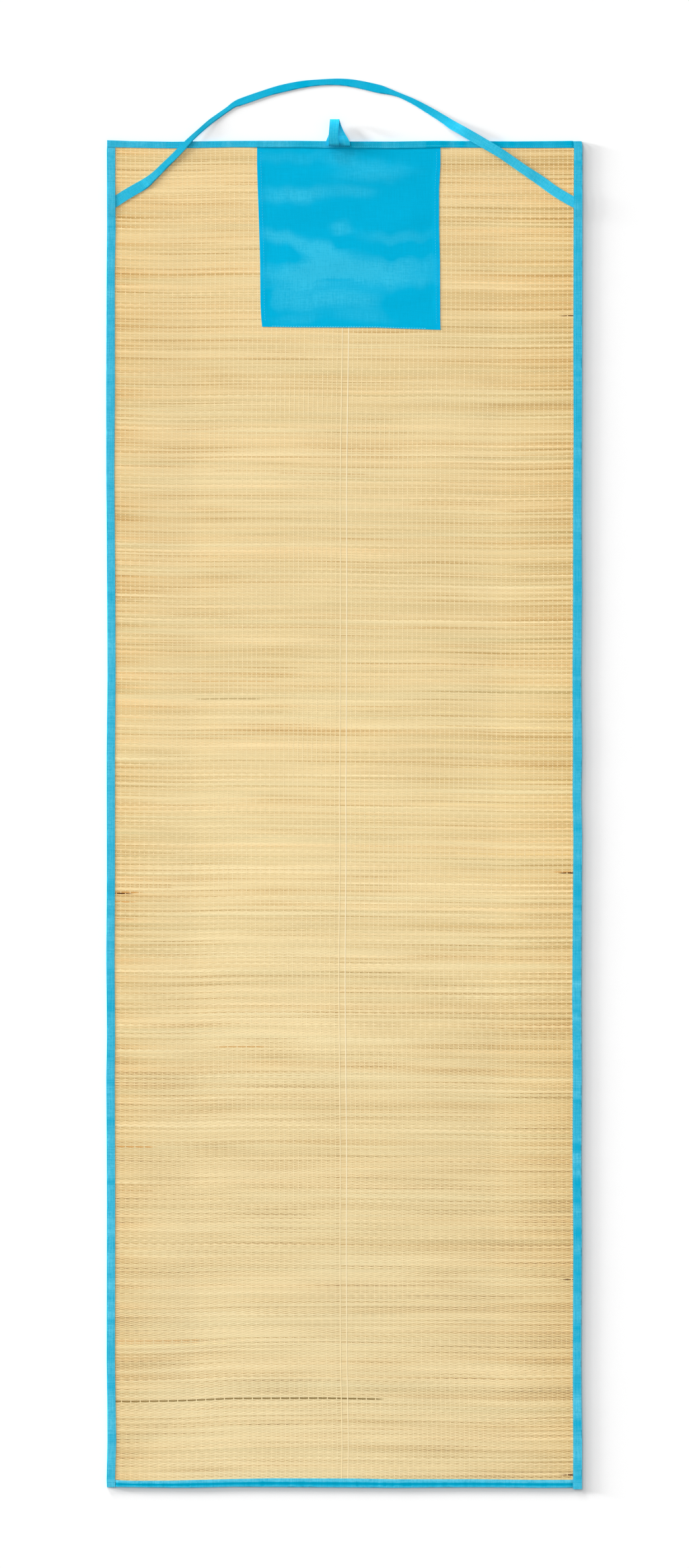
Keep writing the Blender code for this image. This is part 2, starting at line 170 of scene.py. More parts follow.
# How far the wefts rise at places across the mat, for places along it
WEFT_LINE_X = (-270, -148, -25, 76, 199, 280)
WEFT_LINES = (
    (-850, 0, 0, 0, 0, 0, 0), (-797, 0, 2.9, 4.4, 3.6, 1.2, 2.3),
    (-721, 0, 3.6, 4.5, 3.3, 1.3, 2.3), (-670, 0, 2.9, 4.6, 4.1, 2.5, 2.8),
    (-619, 0, 1, 1.8, 2.2, 1, 1.5), (-534, 0, -0.4, -1.2, -1.9, -2.9, -2.5),
    (-449, 0, -0.4, 0.1, -0.3, -2.2, -2.3), (-365, 0, 0.8, 1.2, 1.4, -0.4, -0.8),
    (-195, 0, 1, 1.2, 0.6, -0.8, -0.7), (-25, 0, -0.3, -0.5, -1.2, -3.6, -3.7),
    (145, 0, -0.7, -1.4, -1.3, -3.3, -4.1), (314, 0, -1.7, -1.3, -3.1, -5.1, -4.1),
    (484, 0, -0.2, -0.8, -1.3, -2.3, -2), (654, 0, -0.2, -0.2, -0.3, -1.6, -1.7),
    (756, 0, 0.8, 0.6, 0.9, -0.3, -1.5), (850, 0, 0, 0, 0, 0, 0),
)
# How far the middle warps lie to the right, for places along the mat
WARP_LINES = (
    (-850, 1), (-806, 1.1), (-534, -1.1), (-432, -0.2), (-246, -2.2), (433, -0.2), (620, 2.1),
    (850, 2),
)

# Single straws that stand out: first X, last X, Y at the first, strength
MARKS = {
    "brown": (
        (-154, -60, 433.3, 0.5), (-78, 24, 431, 0.9), (-48, 12, 466.7, 0.5),
        (-288, -248, -474.8, 0.8), (-288, -222, -88.2, 0.9), (-288, -222, -91.8, 0.9),
        (-288, -222, -48.8, 0.8), (231, 285, -64.1, 0.8), (-288, -180, 824, 0.7),
        (-288, -180, 814.3, 0.6), (-146, -104, 794.4, 0.5), (-288, -220, -597.5, 0.6),
        (181, 270, -292, 0.7), (181, 270, -295.1, 0.7),
    ),
    # The gap kind is painted shadow: a dark line in a wider gap between two wefts
    "gap": (
        (-288, 40, -741.3, 1), (-180, -114, 146, 0.6),
    ),
    "red": (
        (-288, -248, -420.5, 0.9), (-284, -265, -98.9, 0.8), (-288, -272, -110.3, 0.8),
        (-288, -269, -132.8, 0.4), (272, 288, -72.6, 0.6), (-154, -108, -294.9, 0.5),
        (-288, -188, -665.8, 0.35), (-288, -188, -669.2, 0.25), (-190, -95, 168, 0.3),
    ),
    "black": (
        (-288, -278, -100.1, 1.2), (281, 288, -73.4, 1), (282, 286, 628.5, 0.8),
        (282, 286, -586.9, 0.8), (284, 288, -833.9, 0.8),
    ),
    "pale": (
        (-288, -150, -670.9, 1), (120, 285, 128.6, 0.8), (120, 285, 110.8, 0.7),
        (120, 285, 93.8, 0.8), (120, 285, 80.2, 0.6), (150, 285, 58.1, 0.9), (120, 285, 42.9, 0.7),
        (150, 285, 20, 0.7), (120, 285, 13.2, 0.7), (150, 285, -48.8, 0.8), (150, 285, -82.7, 0.7),
    ),
}
MARK_FADE = 12
# How far a brown one fades where it passes over a warp
MARK_BROKEN = 0.75
# How much of its sway such a straw keeps
MARK_SWAY = {"brown": 0.6, "gap": 0.1, "red": 0.4, "black": 0.4, "pale": 0.5}
# The gap colour is painted shadow
MARK_COLOURS = {
    "brown": (-34, -46, -50), "gap": (-84, -86, -84), "red": (-22, -56, -72),
    "black": (-150, -160, -130), "pale": (13, 13, 8),
}

# Colours as seen on a screen, 0 to 255
STRAW = (240, 217, 164)
STRAW_LIGHT = (7, 7.3, 7.8)
STRAW_WARM = (1, -1.7, -2.9)
# Painted shade: how much darker a weft is in the gaps and dips between wefts
STRAW_GAP_SHADE = (-42, -56, -62)
STRAW_LEFT_EDGE = (1, -6, -14)
STRAW_RIGHT_EDGE = (-8, -14, -20)
# Change of the straw's colour along the mat: place, then red, green and blue
STRAW_DRIFT = (
    (-700, 1, 5, 10), (-380, 1, 3, 6), (0, 0, 0, 0), (450, -3, -4, -3), (700, -2, -6, -8),
)
# Change of its lightness across the mat
STRAW_ACROSS = ((-300, 0), (-150, -1), (0, -3), (130, -5), (300, -5))
# How far the darker straw reaches in from the two sides
SIDE_REACH = (40, 55)
# Soft changes along the wefts: length, how many neighbours share each, strength; the gap ones vary the
# painted shade between wefts
SOFT_CHANGES = {
    "slip": (260, 20, 0.8), "light bands": (230, 7, 0.32), "light": (170, 0, 0.5),
    "hue bands": (260, 5, 0.6), "hue": (170, 0, 0.5), "gap": (110, 0, 0.95),
    "gap bands": (70, 9, 0.45),
}
# Strengths by place: everywhere, what the left side, the right side and the foot of the mat add,
# and from where to where below its middle the foot's share grows
# The gap, calm and brick strengths set the painted shade in the gaps between wefts
BY_PLACE = {
    "group": (1, 0, 0, -0.5, 150, 450), "group at sides": (0, 0.6, 1.6, 0, 150, 500),
    "light": (1.08, 0.5, 0.4, -0.42, 150, 500), "warm": (1, 0.6, 0.5, 0, 150, 500),
    "warm at foot": (1, 0, 0, -0.3, 150, 500), "gap": (0.27, 0.4, 0.5, 0.2, -50, 500),
    "calm": (0, 0, 0, 0.5, 100, 500), "brick": (0.16, 0, 0, 0.95, 0, 600),
}
# Share of each whole weft and of each group in its lightness
LIGHT_STEADY = 0.42
LIGHT_GROUP = 0.2
# The painted shade in the gaps between wefts: mean, share of each whole weft, gain where calm, loss by
# group, limit
GAP_MEAN = 0.85
GAP_STEADY = 0.5
GAP_CALM = 0.6
GAP_GROUP = 0.4
GAP_LIMIT = 2.4
# How much painted shade they put on a weft: a line along it, its ridge, its foot side by dips and by the
# line
LINE = 0.42
RIDGE = 0.16
FOOT_SIDE = (0.6, 0.5)
THREAD = (250, 230, 184)
CHAIN = (254, 246, 222)
TAPE_DEEP = (0, 166, 203)
TAPE_PALE = (92, 199, 226)
CLOTH_DEEP = (0, 174, 216)
CLOTH_PALE = (50, 188, 224)
CLOTH_HEM = (0, 176, 232)
STRAP_DEEP = (0, 172, 212)
STRAP_PALE = (66, 194, 224)
STITCH = (50, 185, 216)
STITCH_PALE = (112, 206, 230)

# The pocket cloth's sides: place along the mat, left side, right side
PATCH_SIDES = (
    (610, -103.5, 121.2), (628, -105.2, 120.7), (645, -106, 120.6), (700, -106.5, 120.4),
    (743, -107.8, 119.3), (790, -109.5, 119.3), (820, -110.3, 121), (846, -110.3, 121),
)
# The pocket cloth's lower edge: place across the mat, place of the edge
PATCH_FOOT = (
    (-105, 615), (-60, 614.2), (40, 613.9), (80, 612.4), (122, 611.1),
)
PATCH_HEAD = 845.2
PATCH_STEP = 2.6
HEM_WIDTH = 7.6
STITCH_PITCH = 3.4
POCKET_FOOT_SEAM = (14, 20, 1)
POCKET_SIDE_SEAM = 5
HEM_EDGE = 1.2
# How blue the side hems are, and over what width they become so
HEM_BLUE = (0.3, 4)
FOLD_MARGIN = 26
# Soft folds of the pocket cloth: middle X, Y, half length, half width, turn, height
PATCH_FOLDS = (
    (20, 806, 95, 16, 4, 1.1), (-40, 765, 70, 18, -6, 0.9), (60, 742, 75, 20, 8, 1.2),
    (-20, 700, 90, 18, 3, 1), (45, 655, 80, 16, -5, 0.9),
)

# Painted light and shade of the pocket cloth's soft folds, paler where the strength is above 0: X, Y,
# half length, half width, turn, strength
CLOTH_FOLD_SHADING = (
    (-62, 829, 50, 7, 0, 0.25), (32, 812, 42, 12, 2, 0.45), (5, 826, 20, 8, 0, 0.3),
    (-64, 782, 42, 10, 0, 0.75), (8, 784, 24, 8, 0, 0.45), (-82, 728, 26, 8, -8, 0.85),
    (-42, 714, 26, 9, -14, 0.8), (-2, 735, 13, 8, 20, 0.55), (62, 727, 40, 7, -2, 0.4),
    (24, 684, 82, 17, -1, 0.95), (-68, 675, 38, 18, 0, 0.75), (-50, 648, 42, 12, 0, 0.6),
    (12, 650, 38, 12, -3, 0.65), (22, 628, 34, 9, 0, 0.35), (-24, 698, 28, 14, 0, 0.6),
    (-60, 625, 30, 7, 6, 0.3), (-84, 706, 24, 7, -4, -1.3), (-4, 717, 11, 7, 0, -1),
    (80, 709, 34, 7, 0, -0.9), (-22, 671.5, 32, 1.6, 0, -0.5), (-98, 650, 8, 14, 12, -0.8),
    (88, 644, 28, 14, 0, -0.5),
)

# How far such places sway: X with Y and with X, Y with X and with Y; over what length and where
FOLD_SHADING_SWAY = (5, 2, 2.5, 1.5)
FOLD_SHADING_SWAY_LENGTH = 13
FOLD_SHADING_PLACES = (-150, 900)

# The strap as it lies, partly folded under: X, Y, width seen from above, height of its underside
STRAP_ROUTE = (
    (-293.4, 769.9, 13, 3.35), (-287, 774, 13, 3.35), (-276, 781.2, 13, 3.25),
    (-262.7, 789, 13, 3.05), (-252, 795.2, 12.6, 2.9), (-240, 805.2, 9.6, 2.98),
    (-227, 818, 8.6, 3.15), (-215.1, 829.6, 8.3, 3.6), (-202, 843, 8, 4),
    (-190.5, 854.8, 6.4, 3.8), (-182.9, 861.7, 6, 2.8), (-169.3, 873.7, 6.2, 0.8),
    (-158, 882, 6, 0.1), (-147, 889.8, 5.9, 0.1), (-139.5, 895.2, 7, 0.1),
    (-131.5, 898.6, 8.8, 0.1), (-94.6, 911.3, 8.9, 0.1), (-78, 915.8, 9.5, 0.1),
    (-53.9, 920.8, 8.8, 0.1), (-30, 923.4, 7.6, 0.1), (-6.4, 924, 8.3, 0.1), (14, 921.7, 9.6, 0.1),
    (44, 915, 10.4, 0.1), (54.7, 912.2, 7.9, 0.1), (66, 908.6, 5.8, 0.1), (75.1, 904.9, 5.8, 0.1),
    (88.7, 898.4, 7.1, 0.1), (109, 886.8, 9, 0.1), (126, 876.2, 10.1, 0.6),
    (136.2, 869.3, 11.5, 1.8), (147, 863.1, 11.8, 3.2), (158, 856.8, 12, 3.9),
    (172, 848.6, 12, 4.05), (196, 834.2, 11.8, 3.95), (210, 824.7, 11.6, 3.5),
    (227.9, 812.2, 11.7, 3.1), (245.7, 800.3, 12.6, 2.9), (263.5, 787.4, 12.7, 3.05),
    (275.4, 779.8, 13, 3.25), (287, 773.2, 13, 3.35), (293.4, 769.9, 13, 3.35),
)
STRAP_STEP = 2.5
STRAP_TUCK_LEFT = (764, 784)
STRAP_TUCK_RIGHT = (763, 781)

# The hanging loop from its tucked front end to its sewn back end: Y, Z, left X, right X
LOOP_ROUTE = (
    (848, 8.15, -19.5, -7), (844.6, 8.15, -19.7, -6.8), (842.9, 9.4, -19.8, -6.6),
    (843.8, 10.9, -19.9, -6.6), (848, 11.8, -20, -7.4), (855, 12.3, -20, -8.4),
    (863, 12, -19.4, -7.8), (870, 10.6, -18.8, -6.9), (874.8, 8.4, -18.4, -6.5),
    (876.4, 6.2, -18.2, -6.3), (874.6, 4.6, -18.4, -6), (869, 3.7, -18.9, -4.2),
    (862, 3.7, -19.3, -1.2), (856, 4.7, -20.3, 2.1), (850.8, 6.4, -22.6, 5.3),
    (847, 6.8, -23.6, 6.6), (843.2, 6.8, -23.8, 7),
)
LOOP_STEP = 0.8
STRAP_WALL = 0.45
STRAP_CUTS = 19
# Hidden width: the least that is folded under, and over which the strap rises for it
LEAST_FOLDED = 0.05
FOLDED_WIDTHS = (0.1, 1.2)
# The strap's streaks: rows, strength. The loop's stripes: mean, strength, two finenesses, shift
STRAP_STREAK = (6, 0.08)
LOOP_STRIPES = (0.42, 0.25, 2.3, 0.9, 0.5)
# Painted light on the strap: how pale it is, for places across the mat, palest at its ends and deepest
# at its top
STRAP_PAINTED_LIGHT = (
    (-293, 0.65), (-250, 0.5), (-215, 0.35), (-180, 0.3), (-130, 0.2), (-50, 0.1), (20, 0.05),
    (70, 0.2), (130, 0.4), (200, 0.75), (293, 0.75),
)

# Light of the sky, and far lamps: name, turn from -X to +Y, height, spread, share on the floor
DOME_STRENGTH = 0.37
LAMPS = (
    ("high_lamp", 45, 60, 40, 0.21), ("head_lamp", 62, 15, 13, 0.14),
    ("middle_lamp", 28, 12, 11, 0.15), ("side_lamp", 13, 6, 8, 0.18),
)
FLOOR_SIZE = 80
FLOOR_COLOURS = ((250, 250, 250), (252, 252, 252))

rng = np.random.default_rng(SEED)


# Small tools

def table_value(rows, place, column=1):
    """A table's column read in straight lines between its rows."""
    return np.interp(place, [row[0] for row in rows], [row[column] for row in rows])


def ramp(value, low, high):
    """0 at low, 1 at high, with soft ends."""
    share = np.clip((value - low) / (high - low), 0.0, 1.0)
    return share * share * (3 - 2 * share)


def linear(colour):
    """Screen colours, 0 to 255, as the light that they stand for."""
    value = np.clip(np.asarray(colour, float), 0.0, 255.0) / 255.0
    return np.where(value <= 0.04045, value / 12.92, ((value + 0.055) / 1.055) ** 2.4)


def soft_lines(count, places, knot):
    """One smooth random line for each of count rows, with a knot every few millimetres."""
    low = places.min()
    knots = rng.normal(size=(count, int((places.max() - low) / knot) + 2))
    at = (places - low) / knot
    first = np.minimum(at.astype(int), knots.shape[1] - 2)
    share = ramp(at - first, 0.0, 1.0)
    return knots[:, first] * (1 - share) + knots[:, first + 1] * share


def blur_rows(values, rows):
    """Each row mixed with its neighbours, with the spread of the values kept."""
    weights = np.hanning(2 * rows + 1)
    weights /= math.sqrt((weights ** 2).sum())
    return np.apply_along_axis(lambda line: np.convolve(line, weights, mode="same"), 0, values)


def pace_along(points):
    """How far along a line of points each of them lies."""
    return np.concatenate([[0.0], np.cumsum(np.linalg.norm(np.diff(points, axis=0), axis=1))])


def smooth_rows(rows, step):
    """A route's rows with more between them, on a curve through them all."""
    rows = np.asarray(rows, float)
    pace = pace_along(rows[:, :2])
    last = len(rows) - 1
    before = np.maximum(np.arange(last + 1) - 1, 0)
    after = np.minimum(np.arange(last + 1) + 1, last)
    slope = (rows[after] - rows[before]) / (pace[after] - pace[before])[:, None]
    result = []
    for index in range(last):
        length = pace[index + 1] - pace[index]
        count = math.ceil(length / step)
        t = (np.arange(count) / count)[:, None]
        result.append(
            (2 * t ** 3 - 3 * t * t + 1) * rows[index] + (3 * t * t - 2 * t ** 3) * rows[index + 1]
            + (t ** 3 - 2 * t * t + t) * length * slope[index]
            + (t ** 3 - t * t) * length * slope[index + 1]
        )
    return np.concatenate(result + [rows[last:]])


def on_mat(x, y):
    """Move points of the plain rectangle onto the mat's own uneven outline."""
    across = (x + MAT_WIDTH / 2) / MAT_WIDTH
    along = (y + MAT_LENGTH / 2) / MAT_LENGTH
    left = table_value(LEFT_EDGE, y) + MAT_WIDTH / 2
    right = table_value(RIGHT_EDGE, y) - MAT_WIDTH / 2
    foot = table_value(FOOT_EDGE, x) + MAT_LENGTH / 2
    head = table_value(HEAD_EDGE, x) - MAT_LENGTH / 2
    return x + (1 - across) * left + across * right, y + (1 - along) * foot + along * head


def rim_height(x, y):
    """Height of the straw's lower face, which is lifted into its tapes."""
    edge = np.minimum(MAT_WIDTH / 2 - abs(x), MAT_LENGTH / 2 - abs(y))
    return RIM_RISE * np.clip((RIM_RAMP - edge) / (RIM_RAMP - RIM_FLAT), 0.0, 1.0)


def straw_wave(x, y):
    """Slow unevenness of the straw, none at its rim and under the pocket cloth."""
    fade = np.clip((WAVE_LIMIT_Y - y) / WAVE_FADE, 0.0, 1.0)
    fade = fade * np.clip(1.0 - rim_height(x, y) / RIM_RISE, 0.0, 1.0)
    return fade * sum(
        height * np.sin(2 * np.pi * x / across) * np.sin(2 * np.pi * y / along)
        for across, along, height in STRAW_WAVES
    )


# Making meshes

def finish_piece(piece, material):
    """Give a finished piece its material and the body it rides on."""
    piece.data.materials.clear()
    piece.data.materials.append(material)
    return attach(piece, BODY)


def mesh_piece(name, points, faces, slot, material, **attributes):
    """A joined mesh from arrays of points in millimetres and of faces, with its attributes."""
    mesh = bpy.data.meshes.new(name)
    mesh.from_pydata(np.asarray(points, float).reshape(-1, 3) * MM, [], faces)
    for title, values in attributes.items():
        set_attribute(mesh, title, values)
    mesh.shade_smooth()
    mesh.set_sharp_from_angle(angle=SMOOTH_ANGLE)
    piece = bpy.data.objects.new(name, mesh)
    bpy.context.collection.objects.link(piece)
    return finish_piece(piece, material)


def set_attribute(mesh, title, values):
    """A number, a colour or a vector for each point of a mesh."""
    values = np.asarray(values, np.float32)
    kind, field = "FLOAT_VECTOR", "vector"
    if values.ndim == 1:
        kind, field = "FLOAT", "value"
    elif title.endswith("colour"):
        kind, field = "FLOAT_COLOR", "color"
        values = np.column_stack([values, np.ones(len(values), np.float32)])
    mesh.attributes.new(title, kind, "POINT").data.foreach_set(field, values.ravel())


def cloth_piece(name, columns, rows, shape, thick, slot, material, **looks):
    """A sheet of cloth: a flat grid laid out in its own sizes, shaped, then given its thickness.

    shape(column, row) gives the points of its middle face. Each of looks gives an attribute.
    """
    bpy.ops.object.select_all(action="DESELECT")
    wide, long = len(columns) - 1, len(rows) - 1
    bpy.ops.mesh.primitive_grid_add(x_subdivisions=wide, y_subdivisions=long, location=(0, 0, 0))
    piece = bpy.context.active_object
    piece.name = piece.data.name = name
    mesh = piece.data
    flat = np.empty(len(mesh.vertices) * 3)
    mesh.vertices.foreach_get("co", flat)
    flat = flat.reshape(-1, 3)
    column = np.asarray(columns)[np.rint((flat[:, 0] + 1) / 2 * wide).astype(int)]
    row = np.asarray(rows)[np.rint((flat[:, 1] + 1) / 2 * long).astype(int)]
    points = np.column_stack(shape(column, row))
    mesh.vertices.foreach_set("co", (points * MM).ravel())
    corner = np.empty(len(mesh.loops), int)
    mesh.loops.foreach_get("vertex_index", corner)
    lay = np.column_stack([column, row])[corner] * MM
    mesh.uv_layers[0].name = "Lay"
    mesh.uv_layers[0].uv.foreach_set("vector", lay.ravel())
    for title, look in looks.items():
        set_attribute(mesh, title, look(column, row))
    mesh.update()
    wall = piece.modifiers.new("wall", "SOLIDIFY")
    wall.thickness = thick * MM
    wall.offset = 0.0
    bpy.ops.object.modifier_apply(modifier=wall.name)
    bpy.ops.object.shade_smooth_by_angle(angle=SMOOTH_ANGLE)
    return finish_piece(piece, material)


# Materials

class Finish:
    """A node material being built, with one Principled shader."""

    def __init__(self, name, roughness, shine=0.05):
        self.material = bpy.data.materials.new(name)
        self.material.use_nodes = True
        self.tree = self.material.node_tree
        self.shader = self.tree.nodes["Principled BSDF"]
        self.shader.inputs["Roughness"].default_value = roughness
        self.shader.inputs["Specular IOR Level"].default_value = shine

    def node(self, kind, **values):
        """A new node: settings by name, then inputs by name with _ for a space."""
        made = self.tree.nodes.new(kind)
        for title, value in values.items():
            socket = made.inputs.get(title.replace("_", " "))
            if socket is None or hasattr(made, title):
                setattr(made, title, value)
            else:
                self.put(value, socket)
        return made

    def put(self, value, socket):
        """Link a socket, or set it to a number, a vector or a screen colour."""
        if isinstance(value, bpy.types.NodeSocket):
            self.tree.links.new(value, socket)
        else:
            socket.default_value = (*linear(value), 1.0) if socket.type == "RGBA" else value

    def link(self, source, node, title):
        self.tree.links.new(source, node.inputs[title])

    def read(self, attribute, output="Fac"):
        return self.node("ShaderNodeAttribute", attribute_name=attribute).outputs[output]

    def stretched_noise(self, where, scale, detail=2.0):
        """Noise with its own fineness along each axis."""
        spot = self.node("ShaderNodeMapping", Vector=where, Scale=scale).outputs["Vector"]
        noise = self.node("ShaderNodeTexNoise", Vector=spot, Scale=1.0, Detail=detail)
        return noise.outputs["Fac"]

    def spread(self, value, low, high, start=0.3, end=0.7):
        """A number from start..end spread over low..high."""
        made = self.node("ShaderNodeMapRange", Value=value, From_Min=start, From_Max=end,
                         To_Min=low, To_Max=high)
        return made.outputs["Result"]

    def blend(self, share, first, second):
        """Two colours mixed; each is a socket or a screen colour."""
        made = self.node("ShaderNodeMix", data_type="RGBA")
        for value, index in ((share, 0), (first, 6), (second, 7)):
            self.put(value, made.inputs[index])
        return made.outputs[2]

    def times(self, colour, factor):
        """A colour made lighter or darker by a number."""
        made = self.node("ShaderNodeVectorMath", operation="SCALE")
        self.link(colour, made, 0)
        self.link(factor, made, "Scale")
        return made.outputs["Vector"]

    def math(self, operation, first, second):
        made = self.node("ShaderNodeMath", operation=operation)
        self.put(first, made.inputs[0])
        self.put(second, made.inputs[1])
        return made.outputs["Value"]

    def relief(self, height, depth, strength=1.0):
        bump = self.node("ShaderNodeBump", Height=height, Strength=strength, Distance=depth * MM)
        self.link(bump.outputs["Normal"], self.shader, "Normal")

    def colour(self, socket):
        self.link(socket, self.shader, "Base Color")


def rush_finish():
    """Dry rush: each straw's own colour, with fine lengthwise fibres."""
    finish = Finish("rush", 0.62)
    fibres = finish.stretched_noise(finish.read("straw_lay", "Vector"), (14.0, 2.1, 1.0), 3.0)
    own = finish.read("straw_colour", "Color")
    finish.colour(finish.times(own, finish.spread(fibres, 0.93, 1.07)))
    finish.relief(fibres, 0.06, 0.5)
    return finish.material


def thread_finish():
    """Cotton thread between the straws, some stretches as dull as the straw."""
    finish = Finish("warp_cotton", 0.8)
    place = finish.node("ShaderNodeTexCoord").outputs["Object"]
    patches = finish.spread(finish.stretched_noise(place, (170.0, 90.0, 1.0), 3.0), 0.1, 1.0, 0.35, 0.65)
    thread = finish.blend(finish.math("MULTIPLY", finish.read("middle"), patches), STRAW, THREAD)
    finish.colour(finish.blend(finish.read("white"), thread, CHAIN))
    twist = finish.stretched_noise(place, (2400.0, 1500.0, 1.0), 1.0)
    finish.relief(twist, 0.05, 0.3)
    return finish.material


def cloth_finish(name, deep, pale, pitch):
    """Plain woven cloth with soft streaks both ways: pale where tint is above 0, dark below."""
    finish = Finish(name, 0.72, 0.02)
    lay = finish.node("ShaderNodeUVMap", uv_map="Lay").outputs["UV"]
    tint = finish.read("tint")
    mottle = finish.stretched_noise(lay, (330.0, 330.0, 1.0))
    along = finish.stretched_noise(lay, (900.0, 45.0, 1.0))
    across = finish.stretched_noise(lay, (45.0, 900.0, 1.0))
    both = finish.math("ADD", along, across)
    blotches, lines = finish.spread(mottle, 0.75, 1.25), finish.spread(both, -0.35, 0.35, 0.7, 1.3)
    uneven = finish.math("ADD", blotches, lines)
    base = finish.blend(finish.math("MULTIPLY", tint, uneven), deep, pale)
    base = finish.blend(finish.read("hem"), base, CLOTH_HEM)
    base = finish.times(base, finish.spread(tint, 0.78, 1.0, -1.0, 0.0))
    finish.colour(finish.times(base, finish.spread(both, 0.95, 1.05, 0.7, 1.3)))
    split = finish.node("ShaderNodeSeparateXYZ", Vector=lay)
    waves = []
    for axis in ("X", "Y"):
        turn = finish.math("MULTIPLY", split.outputs[axis], 2 * math.pi / (pitch * MM))
        waves.append(finish.math("SINE", turn, 0.0))
    weave = finish.math("MAXIMUM", waves[0], waves[1])
    finish.relief(weave, 0.05, 0.3)
    return finish.material


def stitch_finish(name, base):
    """Sewing thread with a fine twist."""
    finish = Finish(name, 0.6)
    place = finish.node("ShaderNodeTexCoord").outputs["Object"]
    twist = finish.stretched_noise(place, (1800.0, 1800.0, 1800.0), 1.0)
    pale = tuple(min(255.0, channel + 20.0) for channel in base)
    finish.colour(finish.blend(finish.spread(twist, 0.0, 1.0), base, pale))
    finish.relief(twist, 0.05, 0.4)
    return finish.material


def floor_finish():
    finish = Finish("pale_floor", 0.9, 0.0)
    place = finish.node("ShaderNodeTexCoord").outputs["Object"]
    grain = finish.stretched_noise(place, (30.0, 30.0, 30.0))
    finish.colour(finish.blend(grain, *FLOOR_COLOURS))
    return finish.material


# The straw

def weft_rise(x, y):
    """How far a weft rises at x, where it starts at y on the left."""
    result = np.zeros(np.broadcast(x, y).shape)
    for column, peak in enumerate(np.eye(len(WEFT_LINE_X)), 1):
        result = result + table_value(WEFT_LINES, y, column) * np.interp(x, WEFT_LINE_X, peak)
    return result


def warp_places():
    """Places across the mat of the warps, the two chain lines among them."""
    reach = MAT_WIDTH / 2 - PANEL_INSET
    count = int((reach - CHAIN_LINES[1]) / WARP_PITCH)
    left = [CHAIN_LINES[0] - WARP_PITCH * step for step in range(count, 0, -1)]
    right = [CHAIN_LINES[1] + WARP_PITCH * step for step in range(1, count + 1)]
    return np.array(left + list(CHAIN_LINES) + right)


def warp_shift(x, y):
    """How far the warps lie to the right, most in the middle of the mat."""
    return table_value(WARP_LINES, y) * (1 - abs(x) / (MAT_WIDTH / 2))


def mark_straws(colour, x, rows, over):
    """Colour the single straws that stand out, following each along its own weft."""
    marks = [(kind, *mark) for kind, marks in MARKS.items() for mark in marks]
    for kind, first, last, place, strength in marks:
        column = np.abs(x[0] - first).argmin()
        row = np.abs(rows[:, column] - place).argmin()
        here = ramp(x[row], first - MARK_FADE, first) * ramp(-x[row], -last - MARK_FADE, -last)
        if kind == "brown":
            here = here * (1.0 - MARK_BROKEN * over[row])
        colour[row] += (strength * here)[:, None, None] * np.array(MARK_COLOURS[kind])


def straw_colours(x, y, over):
    """Screen colours of every weft at every crossing: on its head side, ridge and foot side, with
    painted shade in the gaps between wefts and where a weft dips under a warp.
    """
    count, places = x.shape[0], x[0]
    left = np.exp(-(places - places[0]) / SIDE_REACH[0])[None, :]
    right = np.exp(-(places[-1] - places) / SIDE_REACH[1])[None, :]

    def soft(title):
        length, shared, strength = SOFT_CHANGES[title]
        lines = soft_lines(count, places, length)
        return strength * (blur_rows(lines, shared) if shared else lines)

    def by_place(title):
        everywhere, at_left, at_right, at_foot, start, end = BY_PLACE[title]
        return everywhere + at_left * left + at_right * right + at_foot * ramp(-y, start, end)

    group = np.cos(2 * np.pi * np.arange(count)[:, None] / WEFT_GROUP + soft("slip"))
    light = soft("light bands")
    light = soft("light") + light + LIGHT_STEADY * rng.normal(size=(count, 1))
    group = group * by_place("group")
    light = (light + LIGHT_GROUP * group) * by_place("light") + by_place("group at sides") * group
    warm = soft("hue bands")
    warm = (soft("hue") + warm) * by_place("warm") * by_place("warm at foot")
    # Painted shade in the gaps between wefts, stronger at the sides and towards the foot
    wild = soft("gap") + GAP_STEADY * rng.normal(size=(count, 1))
    wild = wild + soft("gap bands")
    calm = by_place("calm")
    cast = GAP_MEAN * (1 + GAP_CALM * calm) * np.exp((1 - calm) * wild)
    cast = np.clip(cast * by_place("gap") * (1 - GAP_GROUP * group), 0.0, GAP_LIMIT)
    under, above = (1 - over) / 2, (1 + over) / 2
    colour = (
        np.array(STRAW)
        + np.stack([table_value(STRAW_DRIFT, y, column) for column in (1, 2, 3)], axis=-1)
        + table_value(STRAW_ACROSS, x)[..., None]
        + light[..., None] * np.array(STRAW_LIGHT)
        + warm[..., None] * np.array(STRAW_WARM)
        + left[..., None] * np.array(STRAW_LEFT_EDGE)
        + right[..., None] * np.array(STRAW_RIGHT_EDGE)
    )
    next_cast = np.concatenate([cast[1:], cast[-1:]])
    brick = by_place("brick")
    # Painted shade: on the head side where a weft dips under a warp, a line along every gap, the ridge
    # of a dipping weft, the foot side of a raised weft
    dark = (
        cast * (brick * under + LINE),
        RIDGE * cast * under,
        next_cast * (FOOT_SIDE[0] * brick * above + FOOT_SIDE[1] * LINE),
    )
    result = np.stack([colour + share[..., None] * np.array(STRAW_GAP_SHADE) for share in dark], axis=2)
    mark_straws(result, x, y, above)
    return result


def strand_faces(strands, rings, sides):
    """Faces of closed strands whose points are stored strand by strand, ring by ring."""
    strand = np.arange(strands)[:, None, None] * rings * sides
    ring = np.arange(rings - 1)[None, :, None] * sides
    side = np.arange(sides)[None, None, :]
    after = (side + 1) % sides
    start = strand + ring
    walls = np.stack([start + side, start + after, start + sides + after, start + sides + side],
                     axis=-1).reshape(-1, 4)
    ends = []
    for at, order in ((0, -1), (rings - 1, 1)):
        corners = (strand[:, 0, 0] + at * sides)[:, None] + np.arange(sides)[::order]
        ends += corners.tolist()
    return walls.tolist() + ends


